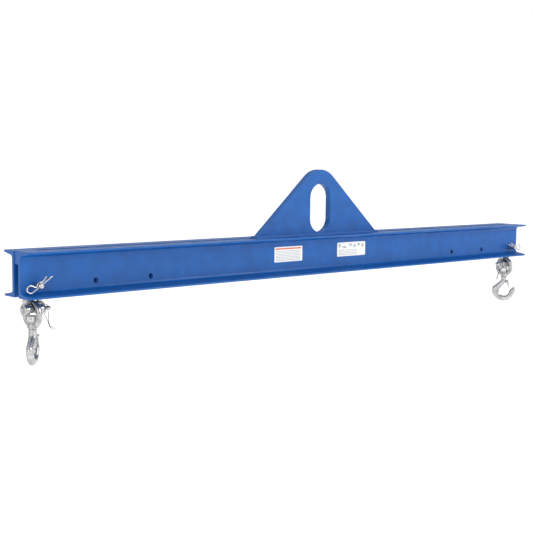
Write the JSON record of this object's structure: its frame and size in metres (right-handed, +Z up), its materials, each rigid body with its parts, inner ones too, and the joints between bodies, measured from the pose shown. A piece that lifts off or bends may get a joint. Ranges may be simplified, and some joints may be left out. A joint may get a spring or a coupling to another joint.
{
  "type": "spreader beam",
  "caption": "Adjustable spreader beam of two back-to-back channels with a slotted lifting plate and swivel latch hooks hung from pinned shackles.",
  "frame": {"origin": "centre of the round top of the lifting slot, in the middle of the plate's thickness", "axes": "+X along the beam, -Y towards the labelled side, +Z up"},
  "size_m": [1.8288, 0.1064, 0.4326],
  "materials": {
    "paint": "satin blue paint with light wear",
    "weld_paint": "painted weld bead",
    "caution_label": "printed vinyl",
    "capacity_label": "printed vinyl",
    "zinc": "zinc plated",
    "bright_zinc": "bright zinc plated",
    "tie_wire": "drawn wire",
    "spring_wire": "drawn spring wire",
    "clip_wire": "bright zinc plated wire",
    "galvanised": "galvanised forging"
  },
  "bodies": {
    "beam": {"front_channel": "paint", "rear_channel": "paint", "lifting_plate": "paint", "plate_welds": "weld_paint", "left_end_spacer": "paint", "right_end_spacer": "paint", "spacer_welds": "weld_paint", "caution_label": "caution_label", "capacity_label": "capacity_label"},
    "left_pin": {"left_hook_pin": "zinc", "left_hitch_clip": "clip_wire"},
    "left_shackle_set": {"left_shackle": "galvanised", "left_shackle_pin": "galvanised", "left_mousing_wire": "tie_wire"},
    "left_bail": {"left_swivel_bail": "galvanised"},
    "left_hook_set": {"left_hook": "galvanised", "left_thrust_washer": "zinc", "left_swivel_nut": "bright_zinc", "left_nut_pin": "zinc", "left_latch_rivet": "zinc"},
    "left_latch_set": {"left_latch": "bright_zinc", "left_latch_spring": "spring_wire"},
    "right_pin": {"right_hook_pin": "zinc", "right_hitch_clip": "clip_wire"},
    "right_shackle_set": {"right_shackle": "galvanised", "right_shackle_pin": "galvanised", "right_mousing_wire": "tie_wire"},
    "right_bail": {"right_swivel_bail": "galvanised"},
    "right_hook_set": {"right_hook": "galvanised", "right_thrust_washer": "zinc", "right_swivel_nut": "bright_zinc", "right_nut_pin": "zinc", "right_latch_rivet": "zinc"},
    "right_latch_set": {"right_latch": "bright_zinc", "right_latch_spring": "spring_wire"}
  },
  "joints": [
    {"name": "left_pin_turn", "type": "hinge", "parent": "beam", "child": "left_pin", "pos_m": [-0.8763, 0, -0.1762], "axis": [0, 1, 0], "range_deg": [-4, 60]},
    {"name": "left_shackle_swing", "type": "hinge", "parent": "beam", "child": "left_shackle_set", "pos_m": [-0.8763, 0, -0.1762], "axis": [0, 1, 0], "range_deg": [-20, 20]},
    {"name": "left_bail_swing", "type": "hinge", "parent": "left_shackle_set", "child": "left_bail", "pos_m": [-0.8763, 0, -0.2312], "axis": [1, 0, 0], "range_deg": [-22, 22]},
    {"name": "left_hook_swivel", "type": "hinge", "parent": "left_bail", "child": "left_hook_set", "pos_m": [-0.8763, 0, -0.2743], "axis": [0, 0, 1], "continuous": true},
    {"name": "left_latch_open", "type": "hinge", "parent": "left_hook_set", "child": "left_latch_set", "pos_m": [-0.86762, 0.00899, -0.2915], "axis": [-0.7193, 0.6947, 0], "range_deg": [0, 35], "stiffness_Nm_per_rad": 0.08, "springref_deg": -22.92},
    {"name": "right_pin_turn", "type": "hinge", "parent": "beam", "child": "right_pin", "pos_m": [0.8763, 0, -0.1762], "axis": [0, 1, 0], "range_deg": [-44, 14]},
    {"name": "right_shackle_swing", "type": "hinge", "parent": "beam", "child": "right_shackle_set", "pos_m": [0.8763, 0, -0.1762], "axis": [0, 1, 0], "range_deg": [-20, 20]},
    {"name": "right_bail_swing", "type": "hinge", "parent": "right_shackle_set", "child": "right_bail", "pos_m": [0.8763, 0, -0.2312], "axis": [1, 0, 0], "range_deg": [-22, 22]},
    {"name": "right_hook_swivel", "type": "hinge", "parent": "right_bail", "child": "right_hook_set", "pos_m": [0.8763, 0, -0.2743], "axis": [0, 0, 1], "continuous": true},
    {"name": "right_latch_open", "type": "hinge", "parent": "right_hook_set", "child": "right_latch_set", "pos_m": [0.88347, -0.01024, -0.2915], "axis": [0.8192, 0.5736, 0], "range_deg": [0, 35], "stiffness_Nm_per_rad": 0.08, "springref_deg": -22.92}
  ]
}
